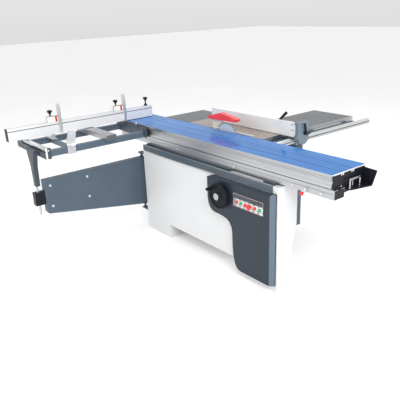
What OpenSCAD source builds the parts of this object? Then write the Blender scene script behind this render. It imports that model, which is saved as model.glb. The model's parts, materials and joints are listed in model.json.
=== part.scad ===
// Panel saw with a sliding table, a crosscut outrigger, a rip fence and a tilting saw unit.
// Millimetres. The sliding table runs along X, the rip fence side is +Y, Z is up.
// The origin is on the floor, under the plane of the saw blade.

/* [Sliding table] */
// Length of the sliding table
table_len = 2196; // [2150:2196]
// Width of the sliding table
table_w = 300; // [300:300]
// Height of the working surface above the floor
table_z = 870; // [870:870]
// Length of the fixed rail under the table
rail_len = 2213; // [2180:2213]

/* [Cabinet] */
// Length of the front cabinet
cab_len = 1467; // [1440:1467]
// Clearance height of the arch between the two feet
arch_h = 114; // [100:120]
// Sheet thickness of the cabinet
sheet = 4; // [3:5]

/* [Saw unit] */
// Saw blade diameter
blade_d = 250; // [230:254]
// Saw blade bore diameter
bore_d = 30; // [30:30]
// Scoring blade diameter
score_d = 100; // [90:100]

/* [Fences] */
// Height of the rip fence
rip_h = 100; // [90:100]
// Length of the crosscut fence
cross_len = 1245; // [1200:1245]
// Diameter of the rip fence bar
bar_d = 44; // [44:44]

/* [Controls] */
// Handwheel rim diameter
wheel_d = 180; // [160:180]
// Push button diameter
button_size = 22; // [20:24]

/* [Hidden] */
$fn = 48;
gap = 0.3;
yf = -312;                       // front edge of the sliding table
yb = yf + table_w;               // back edge of the sliding table
x0 = -1108;                      // far end of the sliding table
x1 = x0 + table_len;             // near end of the sliding table
ext_bot = table_z - 80;          // underside of the moving extrusion
rail_x1 = 1112;
rail_x0 = rail_x1 - rail_len;
rail_y1 = -226;
rail_top = 786;
rail_bot = 730;
cab_x0 = -cab_len / 2;
cab_x1 = cab_len / 2;
cab_y = -342;
cab_top = 715;
cover_y = cab_y - 35;
chamfer = 26;                    // near end of the control cover
top_chamfer = 12;
blade_x = -99;
blade_z = 810;
score_x = 100;
score_z = table_z + 1 - score_d / 2;
bar_x = 368;
bar_z = 836.5;
rip_y = 170;
rip_z = table_z + 3;
cf_x = -992;                     // front face of the crosscut fence
cf_y0 = -1310;
cf_y1 = cf_y0 + cross_len;
cf_z = table_z + 4;
pivot = [-1012, -960];            // swivel of the crosscut fence
hinge = [-862, -285];            // hinge line of the swing arm
wheel = [261, 557];
bolt_x = [-830, -306, 319, 822, 1027];  // bolts along the rail
stop_ya = -956;
stop_yb = -392;
end_knob_y = -110;
grip_len = 46;                   // grip on the handwheel's rim
btn_z = 556;
btn_x = [423, 463, 503, 545, 587, 630];

white = [0.93, 0.93, 0.92];
grey = [0.33, 0.39, 0.45];
dark = [0.22, 0.25, 0.30];
alu = [0.80, 0.81, 0.82];
black = [0.08, 0.08, 0.09];
red = [0.85, 0.12, 0.12];
green = [0.10, 0.60, 0.35];
steel = [0.70, 0.71, 0.72];
iron = [0.47, 0.46, 0.45];

// A bar along X with a profile drawn in Y and Z.
module along_x(xa, xb) {
    translate([xa, 0, 0]) rotate([90, 0, 90]) linear_extrude(xb - xa) children();
}
// A bar along Y with a profile drawn in X and Z.
module along_y(ya, yb) {
    translate([0, yb, 0]) rotate([90, 0, 0]) linear_extrude(yb - ya) children();
}
module box(a, b) { translate(a) cube(b - a); }
module cyl_x(xa, xb, y, z, r) { translate([xa, y, z]) rotate([0, 90, 0]) cylinder(h = xb - xa, r = r); }
module cyl_y(ya, yb, x, z, r) { translate([x, yb, z]) rotate([90, 0, 0]) cylinder(h = yb - ya, r = r); }
module cyl_z(za, zb, x, y, r) { translate([x, y, za]) cylinder(h = zb - za, r = r); }
// A square tube between two corners, open along X or Y.
module tube(a, b, t, dir) {
    difference() {
        box(a, b);
        if (dir == "x") box([a.x - 1, a.y + t, a.z + t], [b.x + 1, b.y - t, b.z - t]);
        else box([a.x + t, a.y - 1, a.z + t], [b.x - t, b.y + 1, b.z - t]);
    }
}

// ---- standing frame ----
// The stepped end profile of the cabinet, inset by d.
module cab_profile(d) {
    polygon([[cab_y + d, d], [-236 - d, d], [-236 - d, 130 + d], [-200 - d, 130 + d], [-200 - d, 312 + d],
             [-187 - d, 312 + d], [-187 - d, 396 + d], [-168 - d, 404 + d], [-168 - d, cab_top - d],
             [cab_y + d, cab_top - d]]);
}
module front_cabinet() color(white) {
    difference() {
        along_x(cab_x0, cab_x1) cab_profile(0);
        difference() {
            along_x(cab_x0 + sheet, cab_x1 - sheet) cab_profile(sheet);
            box([-420 - sheet, cab_y - 1, -1], [404 + sheet, 0, arch_h + sheet]);
        }
        box([-416, cab_y - 1, -1], [400, 0, arch_h]);
        box([-500, -210, 420], [150, -100, cab_top - sheet]);
        box([-500, -220, 330], [150, -150, 424]);
        for (x = [-575, 575]) cyl_z(-1, 10, x, -289, 7);
    }
}
// Four panels that meet with a hair of seam: the tray, two sides and the back.
module rear_housing() color(white) {
    seam = 0.1;
    difference() {
        box([-700, -168, 0], [200, 340, sheet]);
        for (x = [-600, 100]) cyl_z(-1, 10, x, 300, 7);
    }
    for (x = [-700, 200 - sheet]) box([x, -168, sheet + seam], [x + sheet, 340, 735]);
    difference() {
        box([-700 + sheet + seam, 340 - sheet, sheet + seam], [200 - sheet - seam, 340, 735]);
        cyl_y(330, 350, -250, 260, 61.3);
        cyl_y(330, 350, 80, 620, 11.2);
    }
}
module trim_band() color(dark) {
    difference() {
        box([-716, cab_y - 10, 675], [690, cab_y, 724]);
        box([-712, cab_y - 7, 670], [686, cab_y + 1, 721]);
    }
    for (x = [-600, 0, 600]) box([x - 12, cab_y - 7, 690], [x + 12, cab_y, 706]);
}
// Outline of the control cover, inset by d.
module cover_profile(d) {
    polygon([[169 + d, 673 - d], [112 + d, 655 - d], [112 + d, 505], [118 + d, 468 + d], [134 + d, 438 + d],
        [156 + d, 420 + d], [184, 413 + d], [228, 412 + d], [270, 407 + d], [308 + d, 398 + d],
        [336 + d, 380 + d], [352 + d, 352], [359 + d, 318], [361 + d, 220], [368 + d, 140], [382 + d, 92],
        [400 + d, 66 + d], [414 + d, 56 + d], [440, 51 + d], [725 - d, 51 + d], [725 - d, 673 - d]]);
}
// The cover's box with its wide chamfers along the top and the near end.
module cover_body(d) intersection() {
    along_y(cover_y + d, cab_y + d) cover_profile(d);
    along_x(100, 800) polygon([[cover_y + d, 0], [cover_y + d, 673 - top_chamfer - 0.4 * d],
        [cover_y + top_chamfer + 0.4 * d, 673 - d], [cab_y + d, 673 - d], [cab_y + d, 0]]);
    linear_extrude(800) polygon([[0, cover_y + d], [725 - chamfer - 0.4 * d, cover_y + d],
        [725 - d, cover_y + chamfer + 0.4 * d], [725 - d, cab_y + d], [0, cab_y + d]]);
}
module control_cover() color(dark) difference() {
    cover_body(0);
    cover_body(3);
    cyl_y(cover_y - 1, cover_y + 4, wheel.x, wheel.y, 14);
    for (i = [0:5]) cyl_y(cover_y - 1, cover_y + 4, btn_x[i], btn_z, 9);
}
module panel_plate() color(alu) difference() {
    union() {
        box([376, cover_y - 3, 517], [648, cover_y, 606]);
        for (i = [0:5]) cyl_y(cover_y - 9, cover_y - 3, btn_x[i], btn_z, button_size / 2 + 5);
        for (x = [600, 624]) cyl_y(cover_y - 6, cover_y - 3, x, 592, 6);
    }
    for (i = [0:5]) cyl_y(cover_y - 10, cover_y + 1, btn_x[i], btn_z, button_size / 2 + gap);
}
module arm_brackets() color(dark) {
    for (z = [[122, 134], [612, 624]]) {
        box([hinge.x - 22, hinge.y - 18, z.x], [cab_x0, hinge.y + 22, z.y]);
    }
    for (z = [[134, 170], [578, 612]]) cyl_z(z.x, z.y, hinge.x, hinge.y, 10);
}
module rail_beam() color(alu) difference() {
    along_x(rail_x0, rail_x1) difference() {
        polygon([[yf, rail_bot], [rail_y1, rail_bot], [rail_y1, rail_top], [-256, rail_top],
                 [-256, rail_top - 3], [-282, rail_top - 3], [-282, rail_top], [yf, rail_top],
                 [yf, 770], [yf + 3, 768], [yf + 3, 762], [yf, 760]]);
        polygon([[yf + 6, rail_bot + 5], [-274, rail_bot + 5], [-274, rail_top - 9], [yf + 6, rail_top - 9]]);
        polygon([[-268, rail_bot + 5], [rail_y1 - 5, rail_bot + 5], [rail_y1 - 5, rail_top - 9],
                 [-268, rail_top - 9]]);
    }
    cyl_y(yf - 1, yf + 7, 920, 748, 6);
    for (x = bolt_x) cyl_y(yf - 1, yf + 7, x, 750, 4.1);
}
module rail_caps() color(black) {
    for (x = [rail_x0 - 3, rail_x1]) box([x, yf + 4, rail_bot + 3], [x + 3, rail_y1 - 4, rail_top - 4]);
    // strip on top of the rail's near end
    box([x1, yf + 4, rail_top], [rail_x1, rail_y1 - 4, rail_top + 1.8]);
}
module rail_bolts() color(steel) for (x = bolt_x) {
    cyl_y(yf - 6, yf, x, 750, 8);
    cyl_y(yf, yf + 6, x, 750, 4);
}
module main_table() color(iron) difference() {
    union() {
        box([-540, -6, 858], [256, 400, table_z]);
        difference() {
            box([-540, -6, 826], [256, 400, 859]);
            box([-526, -8, 820], [242, 386, 858]);
        }
        for (x = [-430, 200]) box([x, 30, 832], [x + 12, 390, 859]);
        box([-526, 220, 836], [242, 232, 859]);
    }
    box([-292, -7, 850], [162, 6, table_z + 1]);
    box([-292, 5, 866], [162, 34, table_z + 1]);
}
module throat_plate() color(alu) difference() {
    box([-291, 6, 866], [161, 33, table_z]);
    for (x = [-270, -60, 140]) cyl_z(867, 875, x, 24, 5);
}
module mount_blocks() color(dark) {
    for (x = [[-700, 290], [600, 690]]) box([x.x, -330, cab_top], [x.y, rail_y1 - 4, rail_bot]);
    for (x = [-520, 138]) difference() {
        box([x, 276, 640], [x + 50, 340 - sheet, 858]);
        box([x + 6, 282, 646], [x + 44, 340, 850]);
    }
    box([-371, 20, 560], [-345, 60, 858]);
    box([184, 20, 560], [200 - sheet, 60, 858]);
    // box post under the extension side
    difference() {
        box([200, 236, 160], [345, 330, 780]);
        box([206, 242, 166], [339, 324, 774]);
    }
    box([270, 250, 780], [294, 320, 800]);
    bulkheads();
}
module rear_table() color(dark) difference() {
    box([-869, -6, 834], [-540, 400, table_z]);
    box([-866, -3, 830], [-543, 397, 867]);
}
module ext_table() color(dark) difference() {
    box([-112, 400, 840], [262, 1003, table_z]);
    box([-108, 404, 836], [258, 999, 867]);
}
module ext_edge() color(alu) {
    box([262, 400, 842], [272, 1013, 869]);
    box([-112, 1003, 842], [262, 1013, 869]);
    box([256, -2, 842], [266, 400, 869]);
}
module support_rail() color(grey) {
    tube([268, 10, 800], [296, 1000, 838], 3, "y");
    for (y = [120, 560, 960]) {
        cyl_x(296, bar_x - bar_d / 2 + 0.6, y, 826, 6);
        cyl_x(296, 302, y, 826, 10);
    }
    for (y = [60, 360]) box([256, y, 826], [268, y + 40, 838]);
    for (y = [500, 900]) box([250, y, 826], [268, y + 40, 840]);
}
module fence_bar() color(steel) difference() {
    cyl_y(5, 1072, bar_x, bar_z, bar_d / 2);
    cyl_y(1050, 1073, bar_x, bar_z, 6);
    cyl_y(4, 30, bar_x, bar_z, 6);
}
// An arc of a ring about the tilt axis, drawn in Y and Z; angles are from straight down, + toward +Y.
function arc_pt(r, a) = [r * sin(a), table_z - r * cos(a)];
module arc_ring(ri, ro, a0, a1) intersection() {
    translate([0, table_z]) difference() {
        circle(r = ro);
        circle(r = ri);
    }
    polygon(concat([[0, table_z]], [for (i = [0:4]) arc_pt(2 * ro, a0 + (a1 - a0) * i / 4)]));
}
module bulkheads() for (x = [[-345, -333], [172, 184]]) {
    box([x.x, -150, sheet], [x.y, 200, 640]);
    s = x.x < 0 ? [-333, -321] : [160, 172];
    along_x(s.x, s.y) arc_ring(225.8, 258, -38, 42);
    along_x(x.x, x.y) arc_ring(225.8, 258, -38, 42);
}
module rear_ports() color(black) {
    difference() {
        union() {
            cyl_y(336, 350, -250, 260, 61);
            cyl_y(350, 410, -250, 260, 62);
            cyl_y(340, 350, -250, 260, 80);
        }
        cyl_y(330, 411, -250, 260, 58);
    }
    difference() {
        union() {
            cyl_y(334, 362, 80, 620, 11);
            cyl_y(340, 350, 80, 620, 16);
        }
        cyl_y(330, 370, 80, 620, 6);
    }
}

// ---- sliding table ----
slots = [-226, -134];
tray_z = 770;                    // top of the tray under the pull handle
module table_extrusion() color(alu) difference() {
    along_x(x0, x1) polygon([[yf, ext_bot], [yf + 8, ext_bot], [yf + 8, ext_bot + 4], [yf + 5, ext_bot + 4],
        [yf + 5, 828], [yf + 8, 834], [yf + 8, 850], [-240, 850], [-240, 836], [-230, 828],
        [-212, 828], [-204, 846], [-150, 846], [-150, 820], [-116, 820], [-66, 846], [-30, 861],
        [yb, 863], [yb, 869], [yf, 869],
        [yf, 854], [yf + 3, 853], [yf + 3, 851], [yf, 850], [yf, 843], [yf + 3, 842], [yf + 3, 840],
        [yf, 839], [yf, 832], [yf + 2, 830], [yf + 2, 812], [yf, 810]]);
    for (y = slots) {
        box([x0 - 1, y - 4, 850], [x1 + 1, y + 4, 872]);
        box([x0 - 1, y - 8, 852], [x1 + 1, y + 8, 860]);
    }
}
module table_film() color([0.25, 0.50, 0.85]) difference() {
    box([x0, yf + 1, 869], [x1, yb, table_z]);
    for (y = slots) box([x0 - 1, y - 4, 868], [x1 + 1, y + 4, table_z + 1]);
}
module table_caps() color(black) for (x = [[x0 - 6, x0], [x1, x1 + 6]]) difference() {
    box([x.x, yf + 8, 745], [x.y, yb - 8, 862]);
    box([x.x - 1, yf - 1, 740], [x.y + 1, rail_y1 + 6, 792]);
    box([x.x - 1, -130, 740], [x.y + 1, yb + 1, 806]);
    for (y = slots) box([x.x - 1, y - 13, 850], [x.y + 1, y + 13, 870]);
}
module end_scoop() color(black) {
    along_y(-44, -40) polygon([[x1 + 6, 862], [1187, 856], [1163, 768], [x1 + 6, 752]]);
    translate([0, 0, tray_z - 8]) linear_extrude(8)
        polygon([[x1 + 6, -188], [1128, -188], [1163, -44], [x1 + 6, -44]]);
    box([x1 + 2, -122, tray_z - 8], [x1 + 6, -40, 806]);
}
module bail_handle() color(steel) {
    legs = [-181, -91];
    x = x1 + 24;
    r = 6;
    for (y = legs) {
        cyl_z(tray_z, 818, x, y, r);
        cyl_z(tray_z, tray_z + 3, x, y, 10);
        translate([x, y, 818]) sphere(r = r);
    }
    cyl_y(legs[0], legs[1], x, 818, r);
}
module frame_tubes() color(grey) {
    tube([-740, -1140, 785], [-700, -330, 830], 3, "y");
    tube([-1140, -1140, 785], [-1100, -330, 830], 3, "y");
    tube([-1190, -1180, 785], [-650, -1140, 830], 3, "x");
    tube([-1100, -960, 790], [-740, -930, 820], 3, "x");
    // leg
    difference() {
        along_y(-1214, -1180) polygon([[-930, 826], [-794, 826], [-836, 700], [-844, 546],
            [-880, 546], [-888, 700]]);
        box([-876, -1210, 540], [-848, -1179, 760]);
    }
}
module frame_fittings() color(dark) {
    // clamp plate on the table edge
    box([-1150, -330, 778], [-690, -322, 856]);
    for (x = [-1021, -816]) {
        box([x - 20, -322, 790], [x + 20, yf, 840]);
        cyl_y(-338, -330, x, 842, 9);
    }
    box([-700, -352, 800], [-672, -330, 842]);
    // brackets of the roller
    for (x = [[-1083, -1077], [-650, -644]]) difference() {
        box([x.x, -1180, x.x < -1000 ? 830 : 790], [x.y, -1141, 866]);
        cyl_x(x.x - 1, x.y + 1, -1160, 848, 6.05);
    }
    // swivel post of the crosscut fence
    box([-1130, pivot.y - 20, 830], [-990, pivot.y + 20, 838]);
    cyl_z(838, cf_z - gap, pivot.x, pivot.y, 14);
    cyl_z(cf_z - gap, cf_z + 26, pivot.x, pivot.y, 8);
}
module frame_slat() color(alu) {
    difference() {
        box([-1140, -705, 830], [-646, -625, table_z]);
        box([-1141, -700, 834], [-645, -668, 866]);
        box([-1141, -662, 834], [-645, -630, 866]);
    }
    box([-646, -705, 830], [-640, -625, table_z]);
}
// A bent strap from the near tube up and across to the underside of the crosscut fence.
module frame_strap() color(alu) {
    box([-700, -996, 777], [-694, -934, 846]);
    translate([-694, -965, 0]) rotate([0, 0, -26.6]) along_y(-31, 31)
        polygon([[2, 840], [-2, 850], [-14, 862], [-34, 870], [-335, 871], [-335, 867], [-34, 866],
                 [-17, 858], [-8, 848], [-6, 840]]);
    // post on the middle cross tube
    box([-797, -956, 820], [-777, -934, 869]);
}
module carriage() color(dark) {
    box([-260, -300, 792], [260, -246, 800]);
    for (x = [-220, 0, 220]) {
        cyl_y(-292, -250, x, 814.5, 7);
        box([x - 12, -300, 800], [x + 12, -292, 822]);
        box([x - 12, -250, 800], [x + 12, -246, 822]);
        cyl_y(-280, -258, x, 814.5, 31.2);
    }
}
module frame_roller() color(steel) {
    cyl_x(-1076, -651, -1160, 848, 17.5);
    cyl_x(-1086, -640, -1160, 848, 6);
}
module fence_profile() color(alu) difference() {
    along_y(cf_y0 + 5, cf_y1) difference() {
        polygon([[cf_x, cf_z], [cf_x, cf_z + 66], [cf_x - 6, cf_z + 66], [cf_x - 6, cf_z + 72],
                 [cf_x, cf_z + 72], [cf_x, cf_z + 92], [cf_x - 40, cf_z + 92], [cf_x - 40, cf_z]]);
        polygon([[cf_x - 3, cf_z + 3], [cf_x - 3, cf_z + 60], [cf_x - 37, cf_z + 60], [cf_x - 37, cf_z + 3]]);
        polygon([[cf_x - 15, cf_z + 93], [cf_x - 15, cf_z + 76], [cf_x - 30, cf_z + 76],
                 [cf_x - 30, cf_z + 93]]);
    }
    cyl_z(cf_z - 1, cf_z + 10, pivot.x, pivot.y, 8.05);
}
// A clamping knob on a stud that starts at z; its head begins h above that.
module knob_at(x, y, z, h) {
    cyl_z(z, z + h, x, y, 5);
    translate([x, y, z + h - 16]) cylinder(h = 16, r1 = 6, r2 = 13);
    cyl_z(z + h, z + h + 18, x, y, 20);
}
module clamp_knob() color(black) {
    cyl_z(cf_z + 92.3, cf_z + 100, cf_x - 22.5, end_knob_y, 14);
    translate([cf_x - 22.5, end_knob_y, cf_z + 100]) cylinder(h = 20, r1 = 14, r2 = 6);
    knob_at(cf_x - 22.5, end_knob_y, cf_z + 99, 46);
}
module stop_body(y) color(alu) {
    difference() {
        box([cf_x - 48, y - 46, cf_z + 92.3], [cf_x + 8, y + 40, cf_z + 134]);
        cyl_z(cf_z + 100, cf_z + 140, cf_x - 20, y - 8, 5.3);
    }
    box([cf_x - 29.5, y - 40, cf_z + 78], [cf_x - 15.5, y + 34, cf_z + 92.3]);
    cyl_y(y + 40, y + 62, cf_x + 2, cf_z + 116, 6);
}
module flipper(y) color(alu) difference() {
    along_y(y + 43, y + 60) polygon([[cf_x + 0.5, cf_z + 20], [cf_x + 14, cf_z + 4], [cf_x + 24, cf_z + 4],
        [cf_x + 28, cf_z + 60], [cf_x + 25, cf_z + 190], [cf_x + 13, cf_z + 220], [cf_x - 5, cf_z + 222],
        [cf_x - 14, cf_z + 200], [cf_x - 10, cf_z + 106], [cf_x + 0.5, cf_z + 98]]);
    cyl_y(y + 40, y + 70, cf_x + 2, cf_z + 116, 6.05);
}
module stop_a() { stop_body(stop_ya); }
module stop_b() { stop_body(stop_yb); }
module flipper_a() { flipper(stop_ya); }
module flipper_b() { flipper(stop_yb); }
module knob_a() color(black) { knob_at(cf_x - 20, stop_ya - 8, cf_z + 105, 55); }
module knob_b() color(black) { knob_at(cf_x - 20, stop_yb - 8, cf_z + 105, 55); }

// ---- swing arm ----
module swing_arm() color(grey) difference() {
    along_x(hinge.x - 24, hinge.x + 24)
        polygon([[-1157, 584], [-262, 584], [-262, 164], [-1146, 318], [-1157, 332]]);
    along_x(hinge.x - 20, hinge.x + 20) {
        polygon([[-1136, 580], [-330, 580], [-330, 182], [-1136, 323]]);
    }
    cyl_z(160, 200, hinge.x, hinge.y, 10.05);
    cyl_z(560, 590, hinge.x, hinge.y, 10.05);
    box([hinge.x - 15.3, -1158, 409.7], [hinge.x + 15.3, -1130, 490.3]);
}
module arm_block() color(black) difference() {
    union() {
        box([hinge.x - 15, -1156, 410], [hinge.x + 15, -640, 490]);
        box([hinge.x - 26, -1234, 400], [hinge.x + 26, -1160, 500]);
        box([hinge.x - 12, -1160, 412], [hinge.x + 12, -1156, 488]);
    }
    cyl_z(399, 501, hinge.x, -1202, 9);
}
module arm_rod() color(steel) {
    cyl_z(320, 545, hinge.x, -1202, 9);
    cyl_z(500, 506, hinge.x, -1202, 14);
    cyl_z(394, 400, hinge.x, -1202, 14);
}

// ---- saw unit ----
module saw_carriage() color(dark) {
    along_x(-332.7, -321.3) arc_ring(195, 225.7, -5, 38);
    along_x(160.3, 171.7) arc_ring(195, 225.7, -5, 38);
    for (s = [[-332.7, -321.3], [160.3, 171.7]]) box([s.x, 36, 682], [s.y, 120, 790]);
    box([-332.7, 90, 682], [171.7, 100, 790]);
    box([-300, 90, 600], [146, 100, 682]);
    for (x = [-180, -30]) box([x, 84, 600], [x + 12, 90, 790]);
    // scoring motor
    cyl_y(100, 190, score_x, score_z - 60, 42);
    cyl_y(20, 90, score_x, score_z, 16);
    box([score_x - 20, 72, 740], [score_x + 20, 90, score_z]);
}
module rise_slide() color(dark) {
    difference() {
        union() {
            cyl_y(10, 66, blade_x, blade_z, 26);
            box([-160, 56, 560], [-38, 66, blade_z]);
            box([-176, 66, 560], [-18, 74, 740]);
        }
        cyl_y(0, 80, blade_x, blade_z, 12.05);
    }
    for (x = [-168, -18]) box([x, 66, 600], [x + 12, 83.7, 720]);
    difference() {
        cyl_y(-5, 56, -99, 565, 50);
        cyl_y(1, 52, -99, 565, 44);
    }
}
// The knife follows the blade's rim, and its shank reaches down behind the blade.
module riving_knife() color(steel) {
    difference() {
        along_y(-1.25, 1.25) union() {
            polygon([[-258, 790], [-258, 904], [-284, 930], [-272, 950], [-250, 960], [-200, 958],
                     [-140, 946], [-120, 930], [-190, 800]]);
            polygon([[-190, 800], [-258, 790], [-252, 740], [-232, 690], [-180, 648], [-120, 640],
                     [-120, 668], [-165, 682], [-205, 714], [-200, 800]]);
        }
        cyl_y(-2, 2, blade_x, blade_z, blade_d / 2 + 5);
        cyl_y(-2, 2, -262, 946, 3.05);
    }
    box([-150, 1.25, 642], [-122, 56, 668]);
}
module saw_blade() color(steel) difference() {
    union() {
        cyl_y(-1.1, 1.1, blade_x, blade_z, blade_d / 2 - 8);
        translate([blade_x, 1.6, blade_z]) rotate([90, 0, 0]) linear_extrude(3.2)
            for (i = [0:23]) rotate(i * 15) translate([blade_d / 2 - 14, 0])
                polygon([[0, -9], [13.5, -3], [14, 3], [2, 6], [0, 8]]);
    }
    cyl_y(-3, 3, blade_x, blade_z, bore_d / 2);
}
module arbor() color(steel) {
    cyl_y(-1.1, 1.1, blade_x, blade_z, bore_d / 2);
    cyl_y(1.1, 8, blade_x, blade_z, 28);
    cyl_y(-8, -1.1, blade_x, blade_z, 28);
    cyl_y(8, 66, blade_x, blade_z, 12);
    cyl_y(66.3, 82, blade_x, blade_z, 22);
    cyl_y(66, 66.3, blade_x, blade_z, 12);
}
module scoring_blade() color(steel) {
    difference() {
        cyl_y(-1.4, 1.4, score_x, score_z, score_d / 2);
        for (i = [0:11]) translate([score_x, 0, score_z]) rotate([0, i * 30, 0])
            translate([score_d / 2 - 3, -3, 0]) cube([8, 6, 4]);
    }
    cyl_y(1.4, 8, score_x, score_z, 18);
    cyl_y(-7, -1.4, score_x, score_z, 16);
    cyl_y(8, 19.7, score_x, score_z, 10);
}
module guard_hood() color(red) {
    for (y = [[-20, -18], [18, 20]]) along_y(y.x, y.y)
        polygon([[-292, 946], [-286, 962], [-146, 1000], [24, 970], [12, 950], [-270, 940]]);
    along_y(-20, 20) polygon([[-286, 962], [-146, 1000], [24, 970], [23.6, 968], [-146, 997.8],
                              [-285, 960]]);
    along_y(-20, 20) polygon([[24, 970], [12, 950], [10, 951], [21, 970]]);
    for (y = [[-18, -1.55], [1.55, 18]]) cyl_y(y.x, y.y, -262, 946, 6);
    cyl_y(-1.55, 1.55, -262, 946, 3);
}

// ---- controls ----
module handwheel() color(black) {
    translate([wheel.x, cover_y - 30, wheel.y]) rotate([90, 0, 0]) {
        rotate_extrude() translate([wheel_d / 2 - 9, 0]) circle(r = 9, $fn = 20);
        rotate_extrude()
            polygon([[12, -8], [26, -8], [40, -3], [76, -4], [76, 3], [40, 4], [26, 8], [12, 8]]);
    }
    cyl_y(cover_y - 30 - grip_len, cover_y - 30, wheel.x - 66, wheel.y + 42, 10);
}
module wheel_hub() color(steel) {
    cyl_y(cover_y - 52, cover_y - 38, wheel.x, wheel.y, 24);
    cyl_y(cover_y - 38, cover_y - 6, wheel.x, wheel.y, 12);
    cyl_y(cover_y - 6, cover_y + 20, wheel.x, wheel.y, 13.9);
}
module button(i, c) color(c) {
    cyl_y(cover_y - 20, cover_y - 4, btn_x[i], btn_z, button_size / 2);
    cyl_y(cover_y - 4, cover_y + 18, btn_x[i], btn_z, 8.6);
}
module button_a() { button(0, red); }
module button_b() { button(1, green); }
module button_c() { button(2, red); }
module button_stop() color(red) {
    cyl_y(cover_y - 38, cover_y - 25, btn_x[3], btn_z, 18);
    cyl_y(cover_y - 25, cover_y - 4, btn_x[3], btn_z, button_size / 2 - 2);
    cyl_y(cover_y - 4, cover_y + 18, btn_x[3], btn_z, 8.6);
}
module button_d() { button(4, red); }
module button_e() { button(5, green); }
module lock_lever() color(alu) {
    cyl_y(yf - 12, yf - 0.3, 920, 748, 11);
    cyl_y(yf - 0.3, yf + 6, 920, 748, 5.95);
    along_y(yf - 12, yf - 4) polygon([[912, 752], [928, 744], [908, 722], [898, 728]]);
    translate([898, yf - 14, 720]) sphere(r = 12);
}

// ---- rip fence ----
module head_casting() color(grey) difference() {
    union() {
        along_x(392, 414) union() {
            polygon([[192.4, 968], [298, 968], [308, 950], [308, 862], [200, 862], [192.4, 880]]);
            translate([254, 862]) circle(r = 54);
        }
        box([326, 192.4, 862], [392, 308, 948]);
        box([200, 192.4, 876], [326, 236, 950]);
        box([326, 200, 808], [392, 308, 862]);
    }
    cyl_y(180, 330, bar_x, bar_z, bar_d / 2 + 0.05);
    box([320, 180, 817], [bar_x, 330, 840]);
    box([330, 210, 880], [386, 294, 949]);
    cyl_x(400, 415, 262, 890, 6);
}
module head_lever() color(black) {
    cyl_x(402, 414.3, 262, 890, 5.9);
    cyl_x(414.3, 434, 262, 890, 13);
    along_x(422, 432) polygon([[256, 896], [268, 896], [252, 960], [240, 960]]);
    along_x(422, 432) polygon([[262, 884], [262, 896], [306, 888], [306, 878]]);
}
module rip_fence() color(alu) along_x(-472, 390) difference() {
    polygon([[rip_y, rip_z], [rip_y, rip_z + rip_h], [rip_y + 16, rip_z + rip_h],
             [rip_y + 16, rip_z + 70], [rip_y + 22, rip_z + 70], [rip_y + 22, rip_z + 8],
             [rip_y + 16, rip_z + 8], [rip_y + 16, rip_z]]);
    polygon([[rip_y + 3, rip_z + 3], [rip_y + 3, rip_z + 58],
             [rip_y + 13, rip_z + 58], [rip_y + 13, rip_z + 3]]);
    polygon([[rip_y + 3, rip_z + 62], [rip_y + 3, rip_z + rip_h - 3], [rip_y + 13, rip_z + rip_h - 3],
             [rip_y + 13, rip_z + 62]]);
}
module fence_lever() color(black) {
    cyl_z(950.3, 962, 226, 216, 12);
    along_y(209, 223) polygon([[214, 962], [232, 962], [292, 1016], [280, 1028]]);
}

front_cabinet();
rear_housing();
trim_band();
control_cover();
panel_plate();
arm_brackets();
rail_beam();
rail_caps();
rail_bolts();
main_table();
throat_plate();
mount_blocks();
rear_table();
ext_table();
ext_edge();
support_rail();
fence_bar();
rear_ports();
table_extrusion();
table_film();
table_caps();
end_scoop();
bail_handle();
frame_tubes();
frame_fittings();
frame_slat();
frame_strap();
carriage();
frame_roller();
fence_profile();
clamp_knob();
stop_a();
flipper_a();
knob_a();
stop_b();
flipper_b();
knob_b();
swing_arm();
arm_block();
arm_rod();
saw_carriage();
rise_slide();
riving_knife();
saw_blade();
arbor();
scoring_blade();
guard_hood();
handwheel();
wheel_hub();
button_a();
button_b();
button_c();
button_stop();
button_d();
button_e();
lock_lever();
head_casting();
head_lever();
rip_fence();
fence_lever();
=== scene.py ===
"""Looks of the panel saw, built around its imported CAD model.

Metres, in the CAD frame: the sliding table runs along X, the rip fence side is +Y, Z is up.
"""

import json
import math

import bmesh
import bpy
from mathutils import Matrix, Vector


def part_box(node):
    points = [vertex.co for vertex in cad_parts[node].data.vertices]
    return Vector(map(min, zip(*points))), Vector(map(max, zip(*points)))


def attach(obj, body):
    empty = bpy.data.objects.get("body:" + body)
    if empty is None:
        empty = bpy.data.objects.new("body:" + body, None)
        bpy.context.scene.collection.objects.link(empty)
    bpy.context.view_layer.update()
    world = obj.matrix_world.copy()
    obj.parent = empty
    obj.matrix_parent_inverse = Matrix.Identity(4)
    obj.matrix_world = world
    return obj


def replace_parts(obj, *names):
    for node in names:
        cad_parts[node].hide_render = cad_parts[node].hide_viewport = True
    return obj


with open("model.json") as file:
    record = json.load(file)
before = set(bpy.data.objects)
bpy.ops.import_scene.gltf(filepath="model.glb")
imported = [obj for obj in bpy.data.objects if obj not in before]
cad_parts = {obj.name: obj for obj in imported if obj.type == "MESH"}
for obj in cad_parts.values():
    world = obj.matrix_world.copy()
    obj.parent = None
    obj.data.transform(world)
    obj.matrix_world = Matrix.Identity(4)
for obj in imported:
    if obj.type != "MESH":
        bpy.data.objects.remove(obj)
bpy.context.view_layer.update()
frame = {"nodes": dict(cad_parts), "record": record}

SLOT_OF = {part["node"]: part["material_slot"] for part in frame["record"]["subparts"]}
BODY_OF = {
    node: body
    for body, nodes in frame["record"]["behaviour"]["bodies"].items()
    for node in nodes
}
MM = 0.001
WELD = 2e-6
SHARP = math.radians(28)  # edges that bend more than this are rounded
SMOOTH = math.radians(38)  # faces that bend less than this are shaded as one surface
X, Y, Z = Vector((1, 0, 0)), Vector((0, 1, 0)), Vector((0, 0, 1))
WORN_EDGE = 1.6 * MM
LEG_SIDE = -1.140  # the outrigger's crossbar and leg lie beyond this Y
BLADE_CENTRE = (-0.099, 0, 0.810)
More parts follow.
